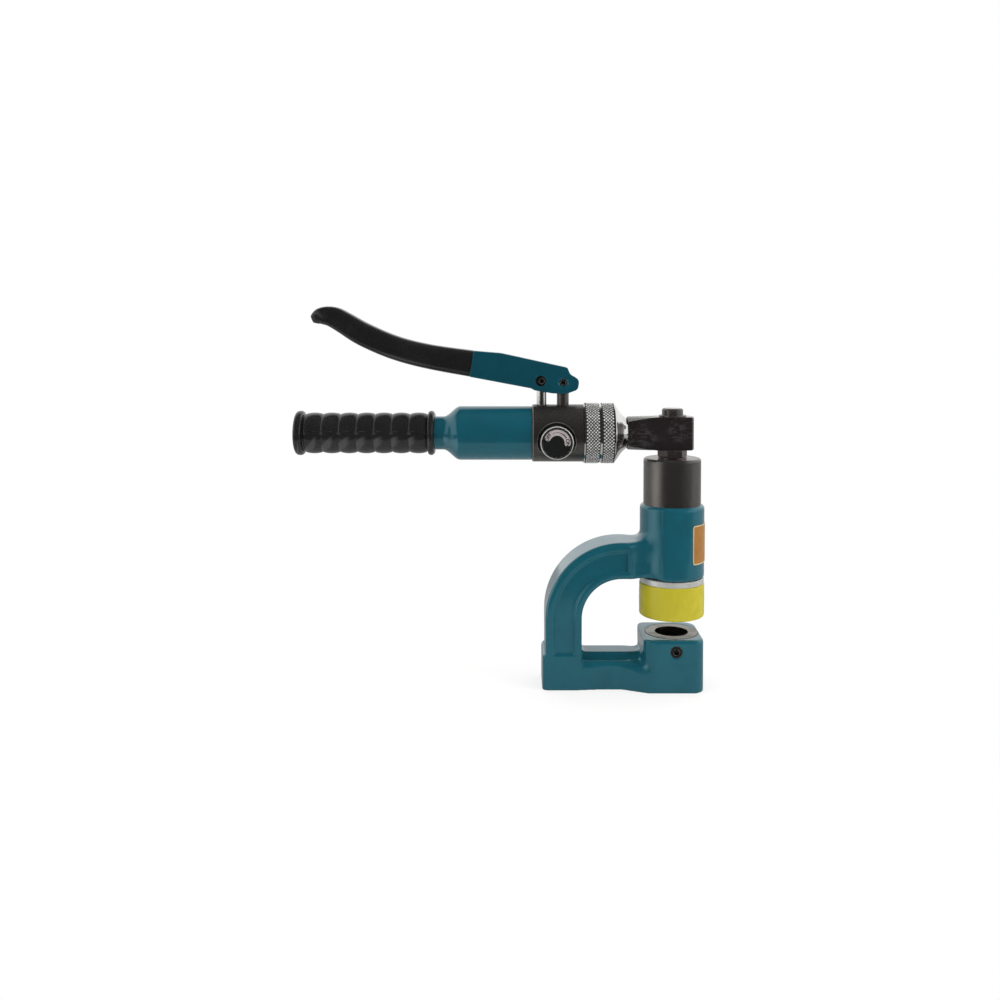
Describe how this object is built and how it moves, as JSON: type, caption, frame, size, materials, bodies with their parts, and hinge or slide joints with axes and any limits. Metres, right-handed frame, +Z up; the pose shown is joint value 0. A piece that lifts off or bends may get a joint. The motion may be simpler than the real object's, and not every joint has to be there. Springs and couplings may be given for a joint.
{
  "type": "hydraulic hole punch",
  "caption": "Hand-pumped hydraulic hole punch: cast C frame with punch, stripper and die, a swivelling pump with ribbed grip, lever and release knob.",
  "frame": {"origin": "punch axis at the underside of the base", "axes": "+Z up along the punch axis; the pump points along -X; the release knob faces -Y"},
  "size_m": [0.3504, 0.0593, 0.3236],
  "materials": {
    "teal_enamel": "gloss enamel over casting",
    "black_oxide": "oiled black oxide",
    "copper": "soft copper",
    "seal_rubber": "matt nitrile",
    "tool_steel": "ground steel",
    "bronze": "machined bronze",
    "spring_steel": "drawn wire",
    "hard_chrome": "polished chrome",
    "knurled_chrome": "diamond knurl, chromed",
    "yellow_urethane": "satin polyurethane",
    "grip_rubber": "satin moulded rubber",
    "black_vinyl": "dipped vinyl",
    "black_knob": "black anodised, turned"
  },
  "bodies": {
    "frame": {"c_frame": "teal_enamel", "ram_cylinder": "black_oxide", "seal_washer": "copper", "swivel_stud": "black_oxide", "stud_o_rings": "seal_rubber", "stud_circlip": "black_oxide", "die": "tool_steel", "die_set_screw": "black_oxide", "rod_guide": "bronze", "rod_wiper": "seal_rubber", "return_spring": "spring_steel"},
    "ram": {"ram": "hard_chrome", "piston_seal": "seal_rubber", "punch_plate": "hard_chrome", "punch": "tool_steel", "stripper": "yellow_urethane"},
    "swivel_head": {"swivel_block": "black_oxide", "swivel_nipple": "tool_steel", "nipple_o_ring": "seal_rubber"},
    "pump": {"pump_block": "black_oxide", "coupling_nut": "knurled_chrome", "reservoir_tube": "teal_enamel", "oil_bladder": "seal_rubber", "handle_grip": "grip_rubber", "fulcrum_post": "black_oxide", "fulcrum_pin": "black_oxide", "plunger_gland": "bronze", "plunger_seal": "seal_rubber", "check_balls": "tool_steel", "check_springs": "spring_steel", "check_seats": "tool_steel"},
    "lever": {"lever": "teal_enamel", "lever_sleeve": "black_vinyl"},
    "plunger": {"plunger": "hard_chrome", "plunger_pin": "black_oxide"},
    "release": {"release_knob": "black_knob", "release_spindle": "tool_steel", "spindle_o_ring": "seal_rubber"}
  },
  "joints": [
    {"name": "ram_stroke", "type": "slide", "parent": "frame", "child": "ram", "axis": [0, 0, -1], "range_m": [0, 0.018], "stiffness_N_per_m": 3000, "springref_m": -0.02, "deforming": ["return_spring", "stripper"]},
    {"name": "head_swivel", "type": "hinge", "parent": "frame", "child": "swivel_head", "pos_m": [0, 0, 0.21625], "axis": [0, 0, 1], "continuous": true},
    {"name": "pump_roll", "type": "hinge", "parent": "swivel_head", "child": "pump", "pos_m": [-0.06, 0, 0.21625], "axis": [1, 0, 0], "continuous": true},
    {"name": "lever_swing", "type": "hinge", "parent": "pump", "child": "lever", "pos_m": [-0.0941, 0, 0.25985], "axis": [0, 1, 0], "range_deg": [-15, 22]},
    {"name": "plunger_stroke", "type": "slide", "parent": "pump", "child": "plunger", "axis": [0, 0, 1], "range_m": [-0.0052, 0.0076]},
    {"name": "release_turn", "type": "hinge", "parent": "pump", "child": "release", "pos_m": [-0.1002, -0.02, 0.21075], "axis": [0, -1, 0], "range_deg": [0, 170]}
  ],
  "couplings": [
    {"joint": "plunger_stroke", "follows": "lever_swing", "m_per_rad": 0.0191}
  ]
}
